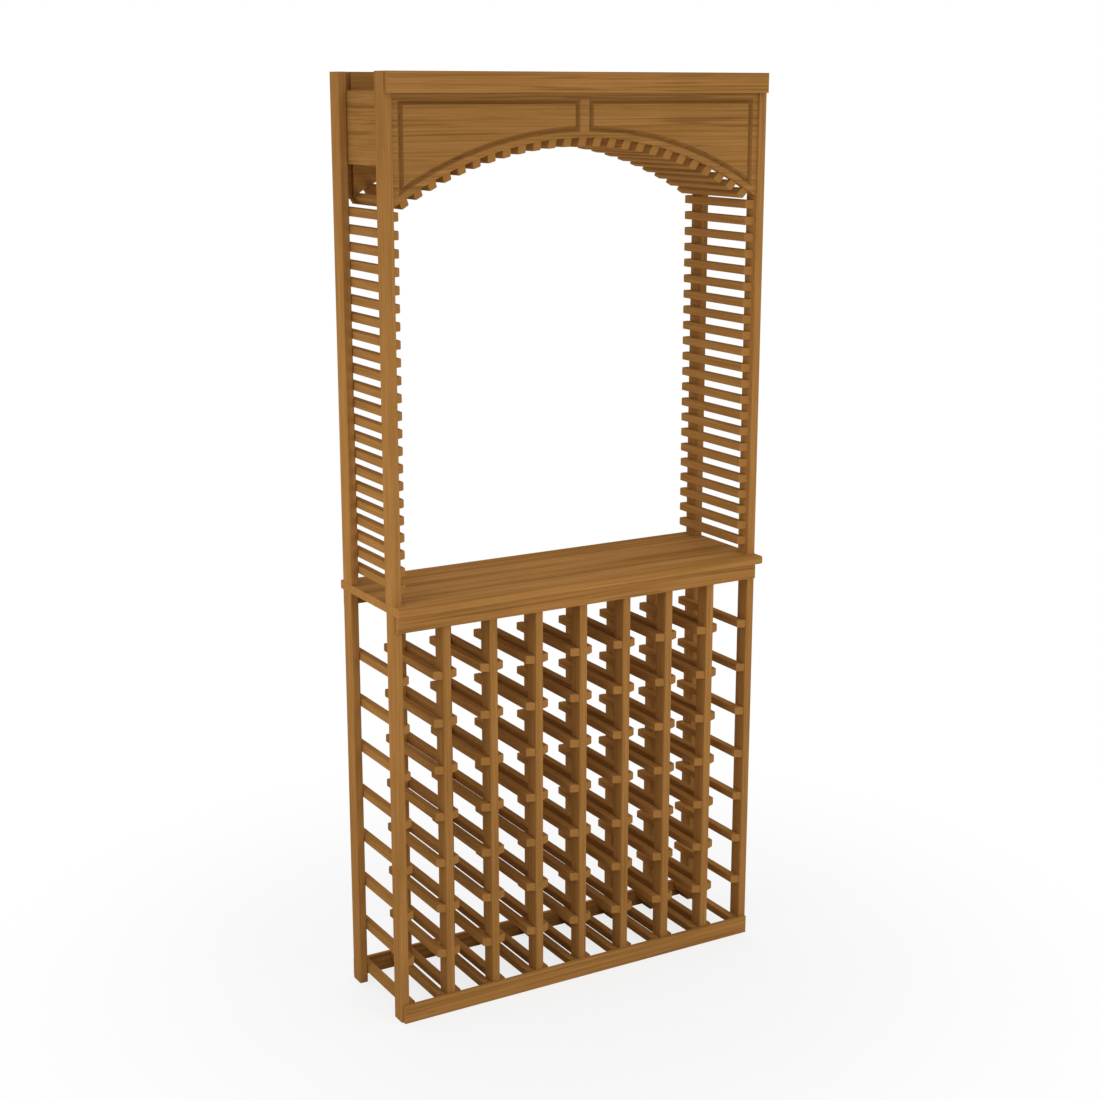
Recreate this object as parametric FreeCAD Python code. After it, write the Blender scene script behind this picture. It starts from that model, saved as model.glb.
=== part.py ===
"""Tasting table: a rack with a tabletop, and an open slatted frame with an arch above it.

Millimetres. +Z is up, +X is to the right and the front faces -Y. The origin lies on the floor, under the
middle of the tabletop.
"""
import FreeCAD, Part
import math
import os

Vec = FreeCAD.Vector
ALONG_X = Vec(1, 0, 0)
ALONG_Y = Vec(0, 1, 0)
ALONG_Z = Vec(0, 0, 1)

# Rack: ladders side by side, with a storage column between each two
column_count = 8
column_pitch = 114.3
row_pitch = 108.0
lowest_rail_height = 21.5
rack_height = 936.0
ladder_depth = 257.5

# Posts, deeper above the tabletop than below it
post_width = 19.5
post_depth = 38.0
upper_post_depth = 42.0
post_round = 3.0

# Square bars: rails, slats and battens, bevelled at the front end
bar_size = 18.5
bar_round = 2.5
bar_bevel = 8.0
rail_setback = 3.5
slat_setback = 12.0
batten_setback = 12.0

# Boards across the posts
board_thickness = 9.5
board_inset = 4.0
board_round = 2.0
base_board_height = 42.0
apron_height = 38.0
header_thickness = 12.0
header_height = 43.0

# Tabletop
tabletop_thickness = 19.0
front_overhang = 29.0
end_overhang = 1.0
front_edge_round = 6.0

# Upper frame
upper_post_height = 1089.0
slat_pitch_wanted = 36.8
lowest_slat_gap = 22.5
highest_slat_gap = 8.7
side_board_thickness = 18.5
side_board_height = 149.0
side_board_drop = 37.5

# Arched valances, and the battens along the arch
valance_thickness = 17.5
valance_recess = 6.0
valance_leg_height = 266.5
valance_crown_height = 133.5
valance_rebate_depth = 7.0
batten_pitch_wanted = 36.8
batten_end_gap = 17.2

# Routed groove around the two panels of the front valance
groove_width = 12.0
groove_depth = 6.0
panel_end_margin = 13.8
panel_arch_margin = 12.0
panel_top_margin = 53.3
panel_divider_width = 21.2

# Brads, driven and set below the surface
brad_diameter = 1.8
brad_cover = 3.0
brad_hold = 10.0
brad_edge_distance = 10.0
brad_stagger = 4.0

# Dowels
dowel_diameter = 6.0
post_dowel_hold = 18.0
post_dowel_spacing = 20.0
valance_dowel_in_post = 10.0
valance_dowel_in_valance = 20.0
valance_dowel_edge_distance = 40.0

# Levels, and faces of the frame, worked out from the sizes above
ladder_count = column_count + 1
rack_width = column_count * column_pitch + post_width
left = -rack_width / 2
right = rack_width / 2
tabletop_depth = front_overhang + ladder_depth + board_thickness
front = front_overhang - tabletop_depth / 2
rear = front + ladder_depth
apron_bottom = rack_height - apron_height
tabletop_top = rack_height + tabletop_thickness
frame_top = tabletop_top + upper_post_height
row_count = int((apron_bottom - lowest_rail_height) // row_pitch)

# The arch is one circle through the feet of the valance legs and the crown
arch_half_span = right - post_width
arch_rise = valance_leg_height - valance_crown_height
arch_radius = (arch_half_span ** 2 + arch_rise ** 2) / (2 * arch_rise)
arch_centre_height = frame_top - valance_crown_height - arch_radius
leg_bottom = frame_top - valance_leg_height
valance_front = front + valance_recess
valance_rear = valance_front + valance_thickness
rear_valance_back = rear - valance_recess
rear_valance_front = rear_valance_back - valance_thickness
side_board_rear = rear_valance_front + valance_rebate_depth

# Slats share out evenly the height from the tabletop to the valance legs
lowest_slat = tabletop_top + lowest_slat_gap
slat_run = leg_bottom - highest_slat_gap - bar_size - lowest_slat
slat_steps = round(slat_run / slat_pitch_wanted)
slat_pitch = slat_run / slat_steps

side_board_top = frame_top - side_board_drop
side_board_bottom = side_board_top - side_board_height

# Brads stand near the inner edge of each post, and those of the two sides of a ladder miss each other
front_brad_y = front + post_depth - brad_edge_distance
rear_brad_y = rear - post_depth + brad_edge_distance
brad_in_bar = bar_size - brad_cover

on_plane = 1e-6
nodes = {}


def ladder_left_face(index):
    """X of the left face of a ladder's posts, counted from 0 at the left end."""
    return left + index * column_pitch


def box(x0, x1, y0, y1, z0, z1):
    return Part.makeBox(x1 - x0, y1 - y0, z1 - z0, Vec(x0, y0, z0))


def pin(diameter, start, direction, length):
    return Part.makeCylinder(diameter / 2, length, start, direction)


def straight_edges(shape, direction):
    """The straight edges of a shape that run along a direction."""
    lines = [edge for edge in shape.Edges if edge.Curve.TypeId == "Part::GeomLine"]
    return [edge for edge in lines if edge.Curve.Direction.cross(direction).Length < on_plane]


def bore(piece, pins):
    """A piece with the seats of the brads and dowels that reach into it."""
    near = [item for item in pins if item.BoundBox.intersect(piece.BoundBox)]
    return piece.cut(near)


def post(x, y, depth, bottom, height):
    """Upright post with its four long edges rounded, from its left front corner."""
    blank = box(x, x + post_width, y, y + depth, bottom, bottom + height)
    return blank.makeFillet(post_round, straight_edges(blank, ALONG_Z))


def board(x0, x1, seat, outer, z0, z1):
    """Board on a face at y = seat, with the edges around its outer face eased."""
    blank = box(x0, x1, min(seat, outer), max(seat, outer), z0, z1)
    eased = [edge for edge in blank.Edges if all(abs(end.Y - outer) < on_plane for end in edge.Vertexes)]
    return blank.makeFillet(board_round, eased)


def bar(start, end):
    """Bar along Y, seated on x = 0 and centred on z = 0, its front end bevelled towards the free face."""
    corners = [
        Vec(0, start, -bar_size / 2),
        Vec(bar_size, start + bar_bevel, -bar_size / 2),
        Vec(bar_size, end, -bar_size / 2),
        Vec(0, end, -bar_size / 2),
    ]
    blank = Part.Face(Part.makePolygon(corners + corners[:1])).extrude(Vec(0, 0, bar_size))
    return blank.makeFillet(bar_round, straight_edges(blank, ALONG_Y))


def bar_brad(y, depth):
    """Brad across the seat of a bar, from inside the bar into the piece that carries it."""
    return pin(brad_diameter, Vec(-brad_hold, y, 0), ALONG_X, brad_hold + depth)


def to_side(shape, seat, height, faces_right):
    """Copy of a bar or its brad, seated on the upright face at x = seat."""
    copy = shape.copy()
    if not faces_right:
        copy.rotate(Vec(0, 0, 0), ALONG_Y, 180)
    copy.translate(Vec(seat, 0, height))
    return copy


def arch_height(x, growth=0.0):
    """Height of the arch at x, or of a circle around it that is larger by growth."""
    return arch_centre_height + math.sqrt((arch_radius + growth) ** 2 - x ** 2)


def line(start, end):
    return Part.LineSegment(start, end).toShape()


def arched_outline(x0, x1, top, growth, y):
    """Closed outline with two uprights, a level top and the arch below, on the plane at y."""
    low_left = Vec(x0, y, arch_height(x0, growth))
    low_right = Vec(x1, y, arch_height(x1, growth))
    top_left = Vec(x0, y, top)
    top_right = Vec(x1, y, top)
    middle = (x0 + x1) / 2
    crown = Vec(middle, y, arch_height(middle, growth))
    arc = Part.Arc(low_right, crown, low_left).toShape()
    return Part.Wire([line(low_left, top_left), line(top_left, top_right), line(top_right, low_right), arc])


def arched_plate(half_span, y, thickness):
    outline = arched_outline(-half_span, half_span, frame_top, 0.0, y)
    return Part.Face(outline).extrude(Vec(0, thickness, 0))


def panel_groove(x0, x1):
    """V groove around one panel of the front valance, open at the valance's front face."""
    panel_top = frame_top - panel_top_margin

    def outline(inset, depth):
        return arched_outline(
            x0 + inset, x1 - inset, panel_top - inset, panel_arch_margin + inset, valance_front + depth)

    floor = outline(groove_width / 2, groove_depth)
    outer_slope = Part.makeLoft([outline(0.0, 0.0), floor], True, True)
    inner_slope = Part.makeLoft([outline(groove_width, 0.0), floor], True, True)
    return outer_slope.cut(inner_slope)


# Rails and their brads, a group on each side of a ladder that faces a column
rail = bar(front + rail_setback, rear)
rail_brads = []
for ladder in range(ladder_count):
    post_left = ladder_left_face(ladder)
    for side, seat, faces_right in (("left", post_left, False), ("right", post_left + post_width, True)):
        if (ladder == 0 and not faces_right) or (ladder == ladder_count - 1 and faces_right):
            continue
        shift = brad_stagger if faces_right else -brad_stagger
        brads = [bar_brad(front_brad_y + shift, brad_in_bar), bar_brad(rear_brad_y + shift, brad_in_bar)]
        bored_rail = bore(rail, brads)
        rails = []
        for row in range(row_count):
            height = lowest_rail_height + row * row_pitch + bar_size / 2
            rails.append(to_side(bored_rail, seat, height, faces_right))
            rail_brads += [to_side(brad, seat, height, faces_right) for brad in brads]
        nodes[f"ladder_{ladder + 1}_{side}_rails"] = Part.makeCompound(rails)
nodes["rail_brads"] = Part.makeCompound(rail_brads)

# Base boards and aprons, held by a brad in every post
board_left = left + board_inset
board_right = right - board_inset
board_levels = {"base_board": (0.0, base_board_height), "apron": (apron_bottom, rack_height)}
board_faces = {"front": (front, front - board_thickness, 1), "rear": (rear, rear + board_thickness, -1)}
board_brads = []
for board_name, (bottom, top) in board_levels.items():
    for face_name, (seat, outer, inward) in board_faces.items():
        brads = []
        for ladder in range(ladder_count):
            middle = ladder_left_face(ladder) + post_width / 2
            start = Vec(middle, outer + inward * brad_cover, bottom + brad_edge_distance)
            length = board_thickness - brad_cover + brad_hold
            brads.append(pin(brad_diameter, start, ALONG_Y * inward, length))
        blank = board(board_left, board_right, seat, outer, bottom, top)
        nodes[f"{board_name}_{face_name}"] = bore(blank, brads)
        board_brads += brads
nodes["board_brads"] = Part.makeCompound(board_brads)

# Dowels from the end ladders through the tabletop into the upper posts
post_dowel_length = tabletop_thickness + 2 * post_dowel_hold
post_dowels = []
for x in (left + post_width / 2, right - post_width / 2):
    for middle in (front + post_depth / 2, rear - post_depth / 2):
        for side in (-1, 1):
            start = Vec(x, middle + side * post_dowel_spacing / 2, rack_height - post_dowel_hold)
            post_dowels.append(pin(dowel_diameter, start, ALONG_Z, post_dowel_length))
nodes["post_dowels"] = Part.makeCompound(post_dowels)

# Lower posts
for ladder in range(ladder_count):
    x = ladder_left_face(ladder)
    for name, y in (("front", front), ("rear", rear - post_depth)):
        blank = post(x, y, post_depth, 0.0, rack_height)
        nodes[f"ladder_{ladder + 1}_{name}_post"] = bore(blank, rail_brads + board_brads + post_dowels)

# Tabletop: front edge rounded, ends eased just as far as they pass the posts
tabletop_end = right + end_overhang
tabletop_front = front - front_overhang
tabletop_rear = rear + board_thickness
slab = box(-tabletop_end, tabletop_end, tabletop_front, tabletop_rear, rack_height, tabletop_top)
front_edges = [e for e in straight_edges(slab, ALONG_X) if abs(e.Vertexes[0].Y - tabletop_front) < on_plane]
slab = slab.makeFillet(front_edge_round, front_edges)
end_edges = []
for edge in slab.Edges:
    on_end = all(abs(abs(corner.X) - tabletop_end) < on_plane for corner in edge.Vertexes)
    on_rear = all(abs(corner.Y - tabletop_rear) < on_plane for corner in edge.Vertexes)
    if on_end and not on_rear:
        end_edges.append(edge)
slab = slab.makeFillet(end_overhang, end_edges)
nodes["tabletop"] = bore(slab, post_dowels)

# Slats between the upper posts, one ladder of them on each side
slat_front_brad = bar_brad(front_brad_y, brad_in_bar)
slat_rear_brad = bar_brad(rear_brad_y, brad_in_bar)
slat = bore(bar(front + slat_setback, rear), [slat_front_brad, slat_rear_brad])
slat_brads = []
side_faces = {"left": (left + post_width, True), "right": (right - post_width, False)}
for side, (seat, faces_right) in side_faces.items():
    slats = []
    for step in range(slat_steps + 1):
        height = lowest_slat + step * slat_pitch + bar_size / 2
        slats.append(to_side(slat, seat, height, faces_right))
        slat_brads += [to_side(brad, seat, height, faces_right) for brad in (slat_front_brad, slat_rear_brad)]
    nodes[f"{side}_side_slats"] = Part.makeCompound(slats)
nodes["slat_brads"] = Part.makeCompound(slat_brads)

# Brads through the side boards into the posts, and dowels from the posts into the valance ends
side_board_brads = []
valance_dowels = []
valance_dowel_ys = (valance_front + valance_thickness / 2, (side_board_rear + rear_valance_back) / 2)
brad_ys = ((valance_rear + front + upper_post_depth) / 2, (rear - upper_post_depth + side_board_rear) / 2)
dowel_levels = (
    side_board_bottom + valance_dowel_edge_distance, side_board_top - valance_dowel_edge_distance)
brad_levels = (side_board_bottom + brad_edge_distance, side_board_top - brad_edge_distance)
valance_dowel_length = valance_dowel_in_post + valance_dowel_in_valance
for seat, inward in ((left + post_width, 1), (right - post_width, -1)):
    direction = ALONG_X * inward
    brad_length = brad_hold + side_board_thickness - brad_cover
    for height in brad_levels:
        for y in brad_ys:
            start = Vec(seat - inward * brad_hold, y, height)
            side_board_brads.append(pin(brad_diameter, start, direction, brad_length))
    for height in dowel_levels:
        for y in valance_dowel_ys:
            start = Vec(seat - inward * valance_dowel_in_post, y, height)
            valance_dowels.append(pin(dowel_diameter, start, direction, valance_dowel_length))
nodes["side_board_brads"] = Part.makeCompound(side_board_brads)
nodes["valance_dowels"] = Part.makeCompound(valance_dowels)

# Side boards, from behind the front valance into the rebates of the rear one
side_board_spans = {
    "left": (-arch_half_span, -arch_half_span + side_board_thickness),
    "right": (arch_half_span - side_board_thickness, arch_half_span),
}
for side, (x0, x1) in side_board_spans.items():
    blank = box(x0, x1, valance_rear, side_board_rear, side_board_bottom, side_board_top)
    nodes[f"{side}_side_board"] = bore(blank, side_board_brads)

# Header across the front posts, with two brads in each
header_bottom = frame_top - header_height
header_outer = front - header_thickness
header_brads = []
for x in (left + post_width / 2, right - post_width / 2):
    for height in (header_bottom + brad_edge_distance, frame_top - brad_edge_distance):
        start = Vec(x, header_outer + brad_cover, height)
        header_brads.append(pin(brad_diameter, start, ALONG_Y, header_thickness - brad_cover + brad_hold))
nodes["header_brads"] = Part.makeCompound(header_brads)
header = board(board_left, board_right, front, header_outer, header_bottom, frame_top)
nodes["header"] = bore(header, header_brads)

# Upper posts, on the tabletop over the end ladders
upper_posts = {
    "front_left": (left, front),
    "front_right": (right - post_width, front),
    "rear_left": (left, rear - upper_post_depth),
    "rear_right": (right - post_width, rear - upper_post_depth),
}
upper_post_pins = post_dowels + slat_brads + side_board_brads + valance_dowels + header_brads
for name, (x, y) in upper_posts.items():
    blank = post(x, y, upper_post_depth, tabletop_top, upper_post_height)
    nodes[f"upper_post_{name}"] = bore(blank, upper_post_pins)

# Battens along the arch, flush with the backs of the posts, with a brad in the edge of both valances
front_seat = (front + batten_setback + valance_rear) / 2
rear_seat = (rear_valance_front + rear_valance_back) / 2
wood_over_front_brad = bar_size * min(1.0, (front_seat - front - batten_setback) / bar_bevel)
batten_front_brad = bar_brad(front_seat, wood_over_front_brad - brad_cover)
batten_rear_brad = bar_brad(rear_seat, brad_in_bar)
batten = bore(bar(front + batten_setback, rear), [batten_front_brad, batten_rear_brad])

# The end battens stand a gap away from the posts, and the others are spread evenly between them
end_batten_corner = arch_half_span - batten_end_gap
corner_radius = math.hypot(arch_radius, bar_size / 2)
end_batten_angle = math.asin(end_batten_corner / corner_radius) - math.atan2(bar_size / 2, arch_radius)
battens_each_side = round(end_batten_angle * arch_radius / batten_pitch_wanted)
batten_angle = end_batten_angle / battens_each_side


def to_arch(shape, step):
    """Copy of a batten or its brad, seated on the underside of the arch."""
    copy = shape.copy()
    copy.rotate(Vec(0, 0, 0), ALONG_Y, 90)
    copy.translate(Vec(0, 0, arch_radius))
    copy.rotate(Vec(0, 0, 0), ALONG_Y, math.degrees(step * batten_angle))
    copy.translate(Vec(0, 0, arch_centre_height))
    return copy


battens = []
batten_brads = []
for step in range(-battens_each_side, battens_each_side + 1):
    battens.append(to_arch(batten, step))
    batten_brads += [to_arch(brad, step) for brad in (batten_front_brad, batten_rear_brad)]
nodes["arch_battens"] = Part.makeCompound(battens)
nodes["batten_brads"] = Part.makeCompound(batten_brads)

# Valances between the posts, the rear one rebated at both ends for the side boards
panel_end = arch_half_span - panel_end_margin
front_valance = arched_plate(arch_half_span, valance_front, valance_thickness)
for x0, x1 in ((-panel_end, -panel_divider_width / 2), (panel_divider_width / 2, panel_end)):
    front_valance = front_valance.cut(panel_groove(x0, x1))
nodes["front_valance"] = bore(front_valance, batten_brads + valance_dowels)
rear_valance = arched_plate(arch_half_span, rear_valance_front, valance_thickness)
for x0, x1 in side_board_spans.values():
    rear_valance = rear_valance.cut(box(x0, x1, rear_valance_front, side_board_rear, leg_bottom, frame_top))
nodes["rear_valance"] = bore(rear_valance, batten_brads + valance_dowels)

# One file for each node
os.makedirs("parts", exist_ok=True)
for name, shape in nodes.items():
    shape.exportStep(f"parts/{name}.step")
print(f"{len(nodes)} nodes, {sum(len(shape.Solids) for shape in nodes.values())} solids,",
      f"{row_count} rows, {slat_steps + 1} slats a side, {len(battens)} battens")
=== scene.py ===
# %% [markdown]
# # A tasting table in stained wood
#
# The real table is a rack of ladders with a tabletop on it, and over the tabletop an open frame with an
# arch. Every stick of it is already a solid of its own, with its edges rounded and its brads bored, so no
# shape has to be added here. What is missing is the finish, the light and the camera, and this lesson makes
# those. The table is loaded as a fixed frame, in metres, with its front towards -Y and its foot at height
# zero.

import math
from collections import namedtuple

import bpy
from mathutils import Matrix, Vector


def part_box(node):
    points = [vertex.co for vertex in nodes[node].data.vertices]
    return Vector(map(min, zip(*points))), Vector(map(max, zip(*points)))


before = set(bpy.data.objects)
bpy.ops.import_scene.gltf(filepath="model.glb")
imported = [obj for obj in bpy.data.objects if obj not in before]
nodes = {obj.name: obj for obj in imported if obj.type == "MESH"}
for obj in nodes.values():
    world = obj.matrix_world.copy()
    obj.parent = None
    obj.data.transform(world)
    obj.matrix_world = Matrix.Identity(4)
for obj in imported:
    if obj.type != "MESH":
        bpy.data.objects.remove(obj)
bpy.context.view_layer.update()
MM = 0.001

# %% [markdown]
# ## Three helpers
#
# Paint charts and screens give colours as sRGB hex values, while a shader works in linear light. One
# function turns the first into the second. Another adds a node to a material, with its settings and with a
# number or a link for each socket, so that a material reads from top to bottom like a recipe. The third
# starts an empty material.

# %% Helpers for colours and nodes
def linear(hex_colour):
    """Linear RGBA of an sRGB hex colour."""
    values = [int(hex_colour[i:i + 2], 16) / 255 for i in (1, 3, 5)]
    return [v / 12.92 if v <= 0.04045 else ((v + 0.055) / 1.055) ** 2.4 for v in values] + [1.0]


def add(tree, kind, inputs=(), **settings):
    """Add a node. Each input is a (socket, value or linked output) pair."""
    made = tree.nodes.new("ShaderNode" + kind)
    for name, value in settings.items():
        setattr(made, name, value)
    for socket, value in inputs:
        if isinstance(value, bpy.types.NodeSocket):
            tree.links.new(value, made.inputs[socket])
        else:
            made.inputs[socket].default_value = value
    return made


def new_material(name):
    """An empty material and its node tree."""
    material = bpy.data.materials.new(name)
    material.use_nodes = True
    material.node_tree.nodes.clear()
    return material, material.node_tree


print("middle grey in linear light:", round(linear("#808080")[0], 3))

# %% [markdown]
# ## Pine with a matt oil stain
#
# The table is made of planed softwood, wiped with a honey-brown oil stain and left without lacquer, so it
# is matt and hardly shines even where the light grazes it. The stain sinks deeper into the soft early wood,
# so the grain shows as straight darker streaks that run the length of each stick, with a dark line of late
# wood here and there. No two sticks took the stain alike, so the tone changes a little from one to the
# next. The sloping sides of the lines routed into the valance get painted shade: a darker colour in place
# of the shadow that falls in them.
# A picture of wood could be wrapped round every stick, but it would stretch at the ends. A solid pattern,
# like the grain itself, goes through the wood: noise pulled long in the direction of the grain.

# %% Grain of a real size
# Width and length of a streak, how far the pattern swings before a streak is fully dark (less gives bolder
# grain), and how dark the lines of late wood are
Grain = namedtuple("Grain", "width length swing late_wood")
PINE_RIPPLE = 0.6


def grain_pattern(tree, place, along, width, length, octaves=2.0, ripple=PINE_RIPPLE):
    """A pattern from 0 to 1, with cells of a real size, long in the direction of the grain."""
    cells_per_metre = [1 / (length if axis == along else width) for axis in "XYZ"]
    spread = add(tree, "VectorMath", [(0, place), (1, cells_per_metre)], operation="MULTIPLY").outputs[0]
    return add(tree, "TexNoise", [("Vector", spread), ("Scale", 1.0), ("Detail", octaves),
                                  ("Roughness", ripple)]).outputs["Fac"]


print("a grain is given by its", ", ".join(Grain._fields))

# %% [markdown]
# ## One number for each stick
#
# A group of rails or slats is one object, yet each stick in it should have grain of its own. The sticks lie
# at even steps, so their step number can be worked out from where a point is: from its height for rails and
# slats, and from its angle round the centre of the arch for the battens. With the object's own random
# number added, that number shifts the grain and the tone of the stick. A material for each stick would do
# the same, but there are almost two hundred of them.

# %% Lot of a stick
# Spreads the random numbers of objects, which lie between 0 and 1, far beyond the step numbers
OBJECT_SPREAD = 997.0


def stick_lot(tree, place, rows, arch):
    """Random values that belong to one stick."""
    number = add(tree, "ObjectInfo").outputs["Random"]
    number = add(tree, "Math", [(0, number), (1, OBJECT_SPREAD)], operation="MULTIPLY").outputs[0]
    if rows or arch:
        start, pitch = rows or arch
        axes = add(tree, "SeparateXYZ", [(0, place)]).outputs
        reach = add(tree, "Math", [(0, axes["Z"]), (1, start)], operation="SUBTRACT").outputs[0]
        if arch:
            reach = add(tree, "Math", [(0, axes["X"]), (1, reach)], operation="ARCTAN2").outputs[0]
        step = add(tree, "Math", [(0, reach), (1, pitch)], operation="DIVIDE").outputs[0]
        step = add(tree, "Math", [(0, step)], operation="ROUND").outputs[0]
        number = add(tree, "Math", [(0, number), (1, step)], operation="ADD").outputs[0]
    return add(tree, "TexWhiteNoise", [("W", number)], noise_dimensions="1D").outputs


print("random numbers of objects run up to", OBJECT_SPREAD)

# %% [markdown]
# ## Streaks, resin canals and late wood
#
# Seen close, planed pine has soft streaks, short dark dashes, which are its resin canals, and longer lines of
# hard late wood. They could be painted on, but all three run with the grain, so the one pattern makes them at
# three sizes, and a threshold turns two of them into separate marks.

# %% Marks in the wood
LATE_WOOD_WIDTH = 7 * MM
LATE_WOOD_LENGTH = 320 * MM
# Resin canals are about 0.2 mm wide on the real wood. They are drawn coarser here, or they would vanish in
# the picture.
CANAL_WIDTH = 1.4 * MM
CANAL_LENGTH = 34 * MM
# Stretch of a pattern's range in which such a mark sets in
LATE_WOOD_EDGE = (0.58, 0.68)
CANAL_EDGE = (0.58, 0.75)
CANAL_DARKNESS = 0.35


def wood_marks(tree, place, along, grain):
    """The streaks from 0 to 1, and how dark the resin canals and the lines of late wood are."""
    streaks = grain_pattern(tree, place, along, grain.width, grain.length)
    late_wood = grain_pattern(tree, place, along, LATE_WOOD_WIDTH, LATE_WOOD_LENGTH, octaves=1.0)
    lines = add(tree, "MapRange", [("Value", late_wood), ("From Min", LATE_WOOD_EDGE[0]),
                                   ("From Max", LATE_WOOD_EDGE[1]), ("To Max", grain.late_wood)],
                interpolation_type="SMOOTHSTEP").outputs[0]
    dashes = grain_pattern(tree, place, along, CANAL_WIDTH, CANAL_LENGTH)
    canals = add(tree, "MapRange", [("Value", dashes), ("From Min", CANAL_EDGE[0]),
                                    ("From Max", CANAL_EDGE[1]), ("To Max", CANAL_DARKNESS)]).outputs[0]
    return streaks, canals, lines


print("a resin canal is drawn", round(CANAL_LENGTH / CANAL_WIDTH), "times as long as wide")

# %% [markdown]
# ## Tones of the stain
#
# The stain dried in three close tones along the streaks, and darker in the canals and in the late wood. A
# face that was sawn across the grain drinks the stain evenly, so the pattern is weak there. The sides of the
# routed lines are darkened with painted shade, which stands in for the shadow in them. They are the only
# slopes on the front of the valance, so the slope of a face is enough to find them, and no mask has to be
# painted.

# %% Colour of the stain
# The Mix node has sockets for numbers, vectors and colours under the same names. These are the colour ones.
COLOUR_A, COLOUR_B, MIXED_COLOUR = 6, 7, 2
STAIN_DARK, STAIN_MID, STAIN_LIGHT = "#8F6330", "#A1723C", "#AD7D47"
# Dark colour of the late wood and the resin canals, and also of the painted shade on the sides of the routed
# lines
DARK_STAIN_AND_SHADE = "#76512A"
# Cosine between a face's normal and the grain, from planed to sawn across, and how even the stain then is
SAWN_EDGE = (0.5, 0.9)
SAWN_EVENNESS = 0.8
# The sides of the routed lines turn 45 degrees away from the front, which is a cosine of about 0.7
FRONT = [0.0, -1.0, 0.0]
ROUTED_SLOPE = 0.7
ROUTED_SLOPE_MARGIN = 0.2
# How far the painted shade on the sides of the routed lines goes towards the dark colour
ROUTED_PAINTED_SHADE = 0.38
MIDDLE = 0.5


def stain_colour(tree, along, grain, marks, routed):
    """Colour of the stained wood, with painted shade on the sloping sides of routed lines."""
    streaks, canals, lines = marks
    bands = add(tree, "ValToRGB", [("Fac", streaks)])
    bands.color_ramp.elements.new(MIDDLE)
    tones = (STAIN_DARK, STAIN_MID, STAIN_LIGHT)
    for band, side, tone in zip(bands.color_ramp.elements, (-1, 0, 1), tones):
        band.position = MIDDLE + side * grain.swing
        band.color = linear(tone)

    faces = add(tree, "NewGeometry").outputs
    lengthwise = [1.0 if axis == along else 0.0 for axis in "XYZ"]
    facing = add(tree, "VectorMath", [(0, faces["Normal"]), (1, lengthwise)], operation="DOT_PRODUCT")
    facing = add(tree, "Math", [(0, facing.outputs["Value"])], operation="ABSOLUTE").outputs[0]
    sawn = add(tree, "MapRange", [("Value", facing), ("From Min", SAWN_EDGE[0]),
                                  ("From Max", SAWN_EDGE[1]), ("To Max", SAWN_EVENNESS)]).outputs[0]
    planed = add(tree, "Math", [(0, 1.0), (1, sawn)], operation="SUBTRACT").outputs[0]
    darker = add(tree, "Math", [(0, canals), (1, lines)], operation="MAXIMUM").outputs[0]
    darker = add(tree, "Math", [(0, darker), (1, planed)], operation="MULTIPLY").outputs[0]

    colour = add(tree, "Mix", [("Factor", sawn), (COLOUR_A, bands.outputs["Color"]),
                               (COLOUR_B, linear(STAIN_MID))], data_type="RGBA").outputs[MIXED_COLOUR]
    colour = add(tree, "Mix", [("Factor", darker), (COLOUR_A, colour),
                               (COLOUR_B, linear(DARK_STAIN_AND_SHADE))], data_type="RGBA").outputs[MIXED_COLOUR]
    # Painted shade: the sloping sides of the routed lines are darkened in place of the shadow in them
    if routed:
        slope = add(tree, "VectorMath", [(0, faces["True Normal"]), (1, FRONT)], operation="DOT_PRODUCT")
        slope = add(tree, "Math", [(0, slope.outputs["Value"]), (1, ROUTED_SLOPE),
                                   (2, ROUTED_SLOPE_MARGIN)], operation="COMPARE").outputs[0]
        painted_groove_shade = add(tree, "Math", [(0, slope), (1, ROUTED_PAINTED_SHADE)], operation="MULTIPLY").outputs[0]
        colour = add(tree, "Mix", [("Factor", painted_groove_shade), (COLOUR_A, colour),
                                   (COLOUR_B, linear(DARK_STAIN_AND_SHADE))],
                     data_type="RGBA").outputs[MIXED_COLOUR]
    return colour


print("honey stain in linear light:", [round(v, 3) for v in linear(STAIN_MID)])

# %% [markdown]
# ## The wood as a whole
#
# Broad clouds and the lot of each stick make the tone a little lighter or darker. The planed surface is
# matt, a little rougher over the dark streaks, and the stain raised the grain just enough to feel it. That
# gives the eye a soft, even brown with almost no shine. Lacquer would shine more, but this table has none,
# so its sheen is set close to nothing. The raised grain could be cut into the mesh, but it is so low that a
# bump in the shading is enough.

# %% Recipe for the stained wood
# Moves each stick to another part of the pattern, by up to this many metres
LOT_SHIFT = 7.0
CLOUD_WIDTH = 60 * MM
CLOUD_LENGTH = 160 * MM
CLOUD_EDGE = (0.3, 0.7)
CLOUD_TONE = (0.95, 1.05)
STICK_TONE = (0.96, 1.05)
# Over the dark streaks and over the light ones
PLANED_ROUGHNESS = (0.92, 0.78)
RELIEF_HEIGHT = 0.3 * MM
RELIEF_STRENGTH = 0.25
WOOD_IOR = 1.5
OIL_SHEEN = 0.005


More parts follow.
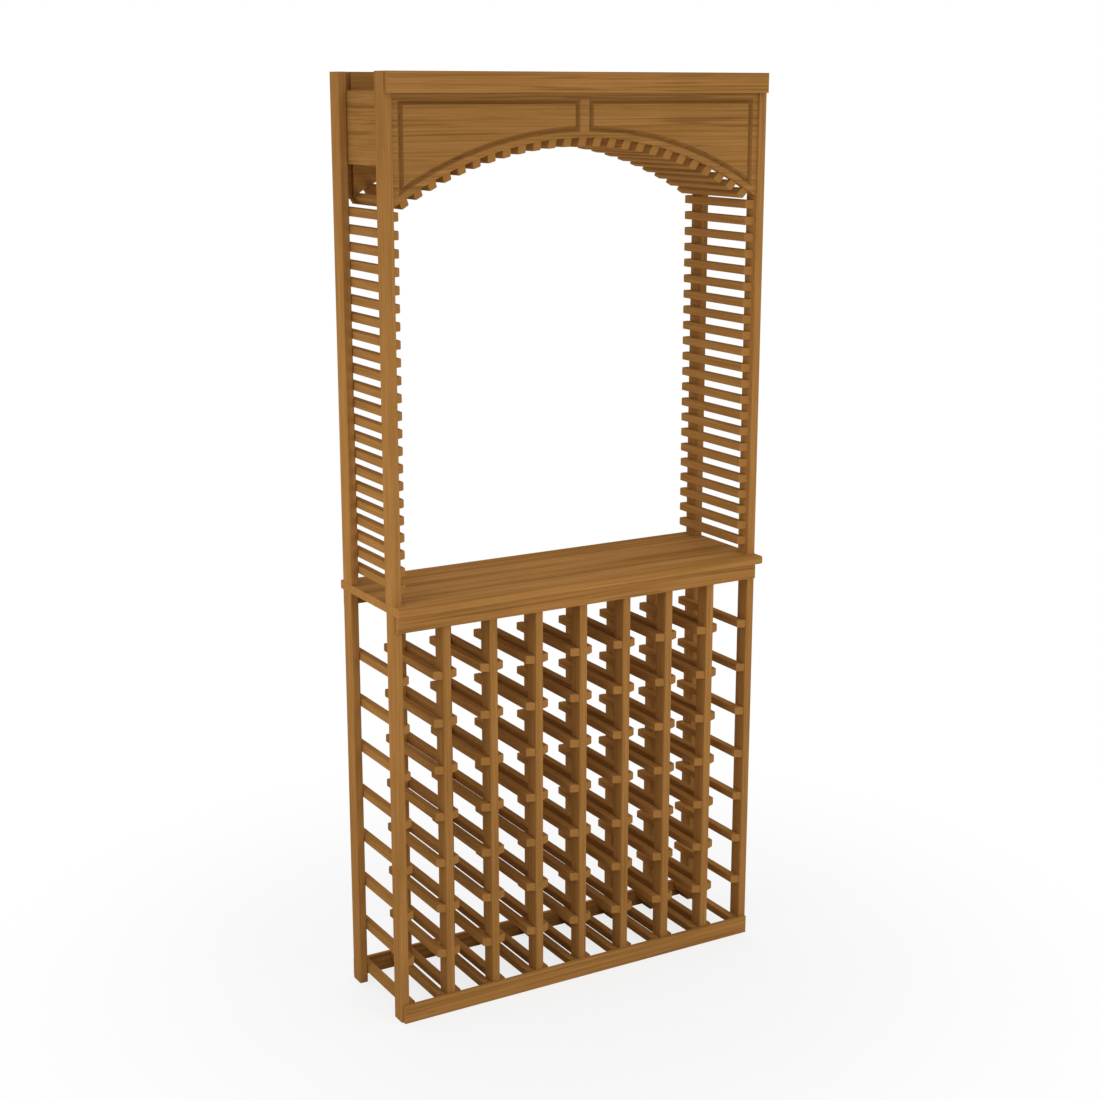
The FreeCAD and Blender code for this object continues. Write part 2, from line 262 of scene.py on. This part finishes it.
def stained_pine(name, along, grain, rows=None, arch=None, routed=False, tone=1.0):
    """Planed and stained pine, with its grain along X, Y or Z."""
    material, tree = new_material(name)
    place = add(tree, "TexCoord").outputs["Object"]
    lot = stick_lot(tree, place, rows, arch)
    shift = add(tree, "VectorMath", [(0, lot["Color"]), ("Scale", LOT_SHIFT)], operation="SCALE").outputs[0]
    place = add(tree, "VectorMath", [(0, place), (1, shift)], operation="ADD").outputs[0]
    streaks, canals, lines = wood_marks(tree, place, along, grain)
    colour = stain_colour(tree, along, grain, (streaks, canals, lines), routed)

    clouds = grain_pattern(tree, place, along, CLOUD_WIDTH, CLOUD_LENGTH)
    clouds = add(tree, "MapRange", [("Value", clouds), ("From Min", CLOUD_EDGE[0]),
                                    ("From Max", CLOUD_EDGE[1]), ("To Min", CLOUD_TONE[0]),
                                    ("To Max", CLOUD_TONE[1])]).outputs[0]
    stick = add(tree, "MapRange", [("Value", lot["Value"]), ("To Min", STICK_TONE[0] * tone),
                                   ("To Max", STICK_TONE[1] * tone)]).outputs[0]
    shade = add(tree, "Math", [(0, clouds), (1, stick)], operation="MULTIPLY").outputs[0]
    colour = add(tree, "HueSaturation", [("Value", shade), ("Color", colour)]).outputs[0]

    matt = add(tree, "MapRange", [("Value", streaks), ("To Min", PLANED_ROUGHNESS[0]),
                                  ("To Max", PLANED_ROUGHNESS[1])]).outputs[0]
    relief = add(tree, "Math", [(0, streaks), (1, canals)], operation="SUBTRACT").outputs[0]
    raised = add(tree, "Bump", [("Height", relief), ("Strength", RELIEF_STRENGTH),
                                ("Distance", RELIEF_HEIGHT)]).outputs[0]
    wood = add(tree, "BsdfPrincipled", [("Base Color", colour), ("Roughness", matt), ("Normal", raised),
                                        ("IOR", WOOD_IOR), ("Specular IOR Level", OIL_SHEEN)])
    add(tree, "OutputMaterial", [("Surface", wood.outputs[0])])
    return material


print("roughness of the planed wood:", PLANED_ROUGHNESS)

# %% [markdown]
# ## Where the sticks lie
#
# Rails and slats lie one above the other at an even pitch, and the battens follow the arch at an even angle.
# These steps could be written down as numbers, but then they would be wrong as soon as the table changes.
# So they are measured from the pieces: the boxes of the groups give the pitch, and the span and rise of the
# valance give the circle of the arch.

# %% Steps of the rails, slats and battens
RAIL_ROWS = 8
SLAT_ROWS = 22
BATTENS = 25
rail_low, rail_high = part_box("ladder_1_right_rails")
slat_low, slat_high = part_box("left_side_slats")
batten_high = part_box("arch_battens")[1]
valance_low, valance_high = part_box("front_valance")
bar_size = rail_high.x - rail_low.x

half_span = (valance_high.x - valance_low.x) / 2
arch_rise = batten_high.z - valance_low.z
arch_radius = (half_span ** 2 + arch_rise ** 2) / (2 * arch_rise)
corner_angle = math.atan2(bar_size / 2, arch_radius)
end_angle = math.asin(batten_high.x / math.hypot(arch_radius, bar_size / 2)) - corner_angle

# Height of the first row and step to the next one, and for the battens height of the centre and angle
rail_rows = (rail_low.z + bar_size / 2, (rail_high.z - rail_low.z - bar_size) / (RAIL_ROWS - 1))
slat_rows = (slat_low.z + bar_size / 2, (slat_high.z - slat_low.z - bar_size) / (SLAT_ROWS - 1))
batten_arch = (batten_high.z - arch_radius, 2 * end_angle / (BATTENS - 1))
print("rail step", round(rail_rows[1] / MM, 1), "mm, slat step", round(slat_rows[1] / MM, 1), "mm")
print("arch radius", round(arch_radius / MM, 1), "mm, batten step",
      round(math.degrees(batten_arch[1]), 2), "degrees")

# %% [markdown]
# ## Stain the woods
#
# One recipe serves every piece, with grain of its own size and direction. The tabletop was cut from a
# broad-ringed plank, the boards and sticks from finer stock. Upper posts and tabletop are made a little
# lighter than the rest, and the front valance a little darker.

# %% Woods for the posts, boards and bars
BOARD_GRAIN = Grain(4.5 * MM, 420 * MM, 0.20, 0.55)
TABLETOP_GRAIN = Grain(20 * MM, 900 * MM, 0.14, 0.2)
SIDE_BOARD_GRAIN = Grain(4 * MM, 220 * MM, 0.24, 0.5)
STICK_GRAIN = Grain(3 * MM, 180 * MM, 0.28, 0.25)
UPPER_POST_TONE = 1.05
VALANCE_TONE = 0.95
TABLETOP_TONE = 1.03

ladder_post_pine = stained_pine("stained_pine_ladder_posts", "Z", STICK_GRAIN)
upper_post_pine = stained_pine("stained_pine_upper_posts", "Z", STICK_GRAIN, tone=UPPER_POST_TONE)
board_pine = stained_pine("stained_pine_board", "X", BOARD_GRAIN)
# The front valance also gets painted shade on the sloping sides of its routed lines
valance_pine = stained_pine("stained_pine_valance", "X", BOARD_GRAIN, routed=True, tone=VALANCE_TONE)
tabletop_pine = stained_pine("stained_pine_tabletop", "X", TABLETOP_GRAIN, tone=TABLETOP_TONE)
side_board_pine = stained_pine("stained_pine_side_board", "Y", SIDE_BOARD_GRAIN)
rail_pine = stained_pine("stained_pine_rails", "Y", STICK_GRAIN, rows=rail_rows)
slat_pine = stained_pine("stained_pine_slats", "Y", STICK_GRAIN, rows=slat_rows)
batten_pine = stained_pine("stained_pine_battens", "Y", STICK_GRAIN, arch=batten_arch)
print("nodes in the wood of the valance:", len(valance_pine.node_tree.nodes))

# %% [markdown]
# ## Brads and dowels
#
# The brads are thin steel pins, set below the surface and filled over, and the dowels are beech pegs hidden
# inside the joints. Neither shows on the finished table, but anyone who takes the model apart will see them,
# so they get a finish as well. One plain colour each would do, but it would look like plastic. Drawn steel
# gives the eye a bright grey with fine scratches, and bare beech a pale brown with short dark flecks.

# %% Steel wire and beech pegs
WIRE_SCRATCH = 0.4 * MM
WIRE_TONES = ("#8D8F92", "#B9BBBD")
WIRE_ROUGHNESS = (0.28, 0.45)
BEECH_FLECK_WIDTH = 0.8 * MM
BEECH_FLECK_LENGTH = 3 * MM
BEECH_TONES = ("#A87F58", "#D9B88F")
BEECH_ROUGHNESS = 0.65
BEECH_RIPPLE = 0.5

drawn_steel, tree = new_material("drawn_steel_wire")
place = add(tree, "TexCoord").outputs["Object"]
scratch = add(tree, "TexNoise", [("Vector", place), ("Scale", 1 / WIRE_SCRATCH),
                                 ("Detail", 2.0)]).outputs["Fac"]
sheen = add(tree, "MapRange", [("Value", scratch), ("To Min", WIRE_ROUGHNESS[0]),
                               ("To Max", WIRE_ROUGHNESS[1])]).outputs[0]
grey = add(tree, "ValToRGB", [("Fac", scratch)])
for end, tone in zip(grey.color_ramp.elements, WIRE_TONES):
    end.color = linear(tone)
wire = add(tree, "BsdfPrincipled", [("Base Color", grey.outputs["Color"]), ("Metallic", 1.0),
                                    ("Roughness", sheen)])
add(tree, "OutputMaterial", [("Surface", wire.outputs[0])])

beech, tree = new_material("beech_dowel")
place = add(tree, "TexCoord").outputs["Object"]
fleck = grain_pattern(tree, place, "Z", BEECH_FLECK_WIDTH, BEECH_FLECK_LENGTH, ripple=BEECH_RIPPLE)
pale = add(tree, "ValToRGB", [("Fac", fleck)])
for end, tone in zip(pale.color_ramp.elements, BEECH_TONES):
    end.color = linear(tone)
peg = add(tree, "BsdfPrincipled", [("Base Color", pale.outputs["Color"]), ("Roughness", BEECH_ROUGHNESS),
                                   ("IOR", WOOD_IOR)])
add(tree, "OutputMaterial", [("Surface", peg.outputs[0])])
print("hidden fixings:", drawn_steel.name, beech.name)

# %% [markdown]
# ## Give each piece its wood
#
# Grain always runs along a stick's length: upright in the posts, front to back in the rails, slats, battens
# and side boards, and from left to right in the long boards, the valances and the tabletop. Each piece could
# get its material by hand, but the pieces are named for what they are, so their names can choose it.

# %% Finish for every piece
# Words in the names of pieces, and the finish for each. The first that fits is taken, and boards are left.
FINISHES = {
    "brads": drawn_steel,
    "dowels": beech,
    "rails": rail_pine,
    "slats": slat_pine,
    "battens": batten_pine,
    "side_board": side_board_pine,
    "tabletop": tabletop_pine,
    "front_valance": valance_pine,
    "upper_post": upper_post_pine,
    "ladder": ladder_post_pine,
}

for name, piece in nodes.items():
    fitting = [finish for word, finish in FINISHES.items() if word in name] + [board_pine]
    piece.data.materials.clear()
    piece.data.materials.append(fitting[0])
print({material.name: material.users for material in bpy.data.materials if material.users})

# %% [markdown]
# ## Pale floor
#
# The photograph shows the table cut out on white. A white floor that is lit like the table would be grey in
# places, so part of its white is its own, and all of it a short way from the table, where the floor fades
# into the white background. Close to the feet it stays a real surface, which takes the table's soft shadow.
# That white must not light the table, so the floor has it only where it is seen directly.

# %% Floor with a soft shadow
FLOOR_SIZE = 12.0
SHADOW_REACH = 0.5
FADE_REACH = 1.5
NEAR_WHITE = 0.8
FLOOR_ROUGHNESS = 0.9


def seen_directly(tree):
    """1 where the camera looks, also by reflection or through glass, and 0 for light on the table."""
    rays = add(tree, "LightPath").outputs
    seen = add(tree, "Math", [(0, rays["Is Camera Ray"]), (1, rays["Is Glossy Ray"])], operation="MAXIMUM")
    return add(tree, "Math", [(0, seen.outputs[0]), (1, rays["Is Transmission Ray"])],
               operation="MAXIMUM").outputs[0]


floor_mesh = bpy.data.meshes.new("floor")
half = FLOOR_SIZE / 2
corners = [(-half, -half, 0), (half, -half, 0), (half, half, 0), (-half, half, 0)]
floor_mesh.from_pydata(corners, [], [(0, 1, 2, 3)])
floor = bpy.data.objects.new("floor", floor_mesh)
bpy.context.scene.collection.objects.link(floor)

# Matt paint gives the eye an even, pale floor with a soft shadow and no reflection
white_floor, tree = new_material("matt_white_floor_paint")
place = add(tree, "TexCoord").outputs["Object"]
away = add(tree, "VectorMath", [(0, place)], operation="LENGTH").outputs["Value"]
fade = add(tree, "MapRange", [("Value", away), ("From Min", SHADOW_REACH), ("From Max", FADE_REACH),
                              ("To Min", NEAR_WHITE)], interpolation_type="SMOOTHSTEP").outputs[0]
white = add(tree, "Math", [(0, fade), (1, seen_directly(tree))], operation="MULTIPLY").outputs[0]
paint = add(tree, "BsdfPrincipled", [("Base Color", linear("#E4E4E4")), ("Roughness", FLOOR_ROUGHNESS)])
glow = add(tree, "Emission", [("Color", linear("#FFFFFF")), ("Strength", 1.0)])
both = add(tree, "MixShader", [(0, white), (1, paint.outputs[0]), (2, glow.outputs[0])])
add(tree, "OutputMaterial", [("Surface", both.outputs[0])])
floor_mesh.materials.append(white_floor)
print("floor fades from", SHADOW_REACH, "to", FADE_REACH, "m")

# %% [markdown]
# ## White room
#
# In the photograph most of the light is even, as in a white room. Lamps on all sides could give such light,
# but a white world does it with one colour. It is pure white where it is seen, and a little weaker as light,
# so that the wood keeps the tone that it was stained in.

# %% White world
ROOM_LIGHT = 0.815

world = bpy.data.worlds.new("white_room")
bpy.context.scene.world = world
world.use_nodes = True
tree = world.node_tree
tree.nodes.clear()
level = add(tree, "MapRange", [("Value", seen_directly(tree)), ("To Min", ROOM_LIGHT),
                               ("To Max", 1.0)]).outputs[0]
room = add(tree, "Background", [("Color", linear("#FFFFFF")), ("Strength", level)])
add(tree, "OutputWorld", [("Surface", room.outputs[0])])
print("room light", ROOM_LIGHT)

# %% [markdown]
# ## Soft studio light
#
# The wood in the photograph is brightest at the height of the tabletop. A brighter room would lift all of it
# alike, so two weak soft boxes stand close to the table instead, a little above that height, one in front and
# one on the left. Another stands behind, so that the back can be looked at.

# %% Soft boxes
AIM = Vector((0, 0, 1.1))


def soft_box(name, place, size, watts):
    """A square soft box that faces the middle of the table."""
    lamp = bpy.data.lights.new(name, "AREA")
    lamp.size = size
    lamp.energy = watts
    holder = bpy.data.objects.new(name, lamp)
    holder.location = place
    holder.rotation_euler = (AIM - Vector(place)).to_track_quat("-Z", "Y").to_euler()
    holder.visible_camera = False
    bpy.context.scene.collection.objects.link(holder)
    print(name, "at", place, "m,", watts, "W")


soft_box("front_soft_box", (0.1, -1.4, 1.2), 0.6, 4.4)
soft_box("left_soft_box", (-1.3, -0.1, 1.1), 0.6, 2.5)
soft_box("rear_soft_box", (1.0, 4.2, 2.4), 2.4, 35)

# %% [markdown]
# ## The camera
#
# Straight edges in the photograph meet at vanishing points, which give the camera's turn, tilt and lens.
# Its place follows from the table's own size: it stands in front and to the left, at the height of the
# header, and looks down a little. A camera set by eye would come close, but not as close.

# %% Camera at the photograph's viewing angle
CAMERA_PLACE = (-2.0800, -3.5292, 2.0038)
CAMERA_TURN = 30.293
CAMERA_TILT = 13.818
FOCAL_PIXELS = 1863.3
PICTURE_PIXELS = 1100
SENSOR_WIDTH = 36.0

view = bpy.data.cameras.new("photo_camera")
view.sensor_width = SENSOR_WIDTH
view.lens = SENSOR_WIDTH * FOCAL_PIXELS / PICTURE_PIXELS
camera = bpy.data.objects.new("photo_camera", view)
camera.location = CAMERA_PLACE
camera.rotation_euler = (math.radians(90 - CAMERA_TILT), 0, math.radians(-CAMERA_TURN))
bpy.context.scene.collection.objects.link(camera)
bpy.context.scene.camera = camera
bpy.context.scene.view_settings.view_transform = "Standard"
print("lens", round(view.lens, 2), "mm")
